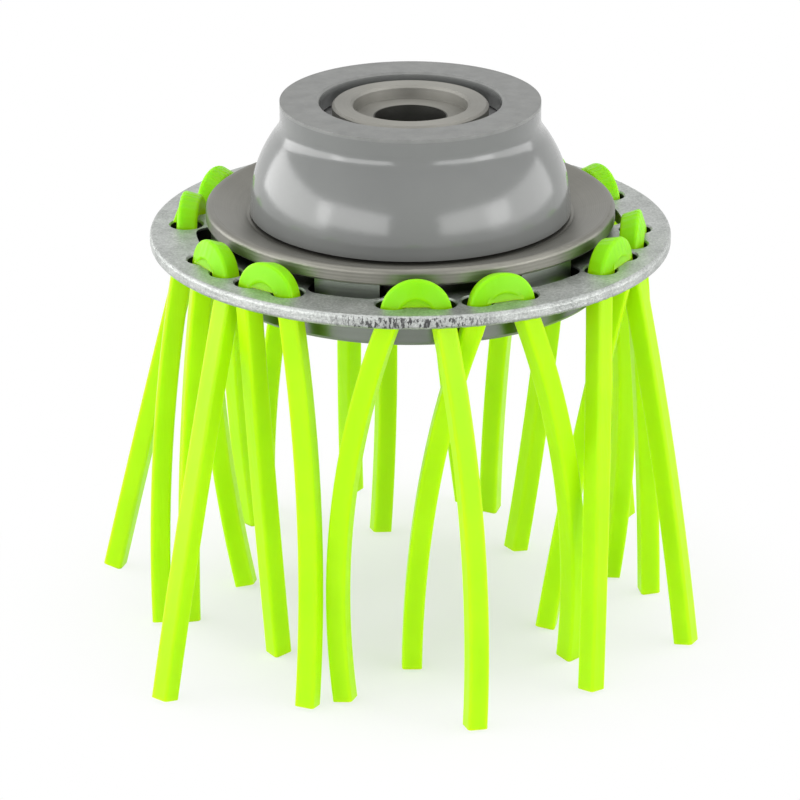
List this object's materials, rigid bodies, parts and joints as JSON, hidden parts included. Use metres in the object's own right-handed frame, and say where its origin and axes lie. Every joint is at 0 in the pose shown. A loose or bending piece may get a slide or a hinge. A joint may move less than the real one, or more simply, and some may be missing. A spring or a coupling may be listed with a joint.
{
  "type": "trimmer brush head",
  "caption": "Brush head for a grass trimmer: loops of square nylon line through a slotted steel ring, clamped by a hub and a flange, with a glide cup that turns on a ball bearing.",
  "frame": {"origin": "on the spindle axis, at the face of the arbor seat and the lower end of the spindle bush", "axes": "+Z along the spindle axis from the bristle tips to the glide cup, -Y to the front of the picture, +X to its right"},
  "size_m": [0.0911, 0.0922, 0.0811],
  "materials": {
    "nylon_line": "extruded nylon line, slightly see-through, soft gloss",
    "cup_plastic": "moulded plastic, smooth semi-gloss",
    "turned_steel": "turned, fine rings round the axis",
    "galvanised_steel": "zinc plated, matt, fine grain",
    "bush_steel": "turned, satin",
    "bearing_steel": "ground and polished",
    "shield_steel": "pressed sheet, satin",
    "spring_steel": "blackened spring steel",
    "screw_steel": "zinc plated",
    "cage_nylon": "moulded nylon"
  },
  "bodies": {
    "head": {"line_ring": "galvanised_steel", "line_loop_01": "nylon_line", "line_loop_02": "nylon_line", "line_loop_03": "nylon_line", "line_loop_04": "nylon_line", "line_loop_05": "nylon_line", "line_loop_06": "nylon_line", "line_loop_07": "nylon_line", "line_loop_08": "nylon_line", "line_loop_09": "nylon_line", "line_loop_10": "nylon_line", "line_loop_11": "nylon_line", "line_loop_12": "nylon_line", "lower_hub": "turned_steel", "upper_flange": "turned_steel", "clamp_screws": "screw_steel", "spindle_bush": "bush_steel", "bearing_inner_ring": "bearing_steel"},
    "cup": {"glide_cup": "cup_plastic", "bearing_outer_ring": "bearing_steel", "bearing_shield_upper": "shield_steel", "bearing_shield_lower": "shield_steel", "retaining_ring": "spring_steel"},
    "ball_set": {"bearing_balls": "bearing_steel", "bearing_cage": "cage_nylon"}
  },
  "joints": [
    {"name": "cup_spin", "type": "hinge", "parent": "head", "child": "cup", "pos_m": [0, 0, 0.0169], "axis": [0, 0, 1], "continuous": true},
    {"name": "ball_set_spin", "type": "hinge", "parent": "head", "child": "ball_set", "pos_m": [0, 0, 0.0169], "axis": [0, 0, 1], "continuous": true}
  ],
  "couplings": [
    {"joint": "ball_set_spin", "follows": "cup_spin", "ratio": 0.6013}
  ]
}
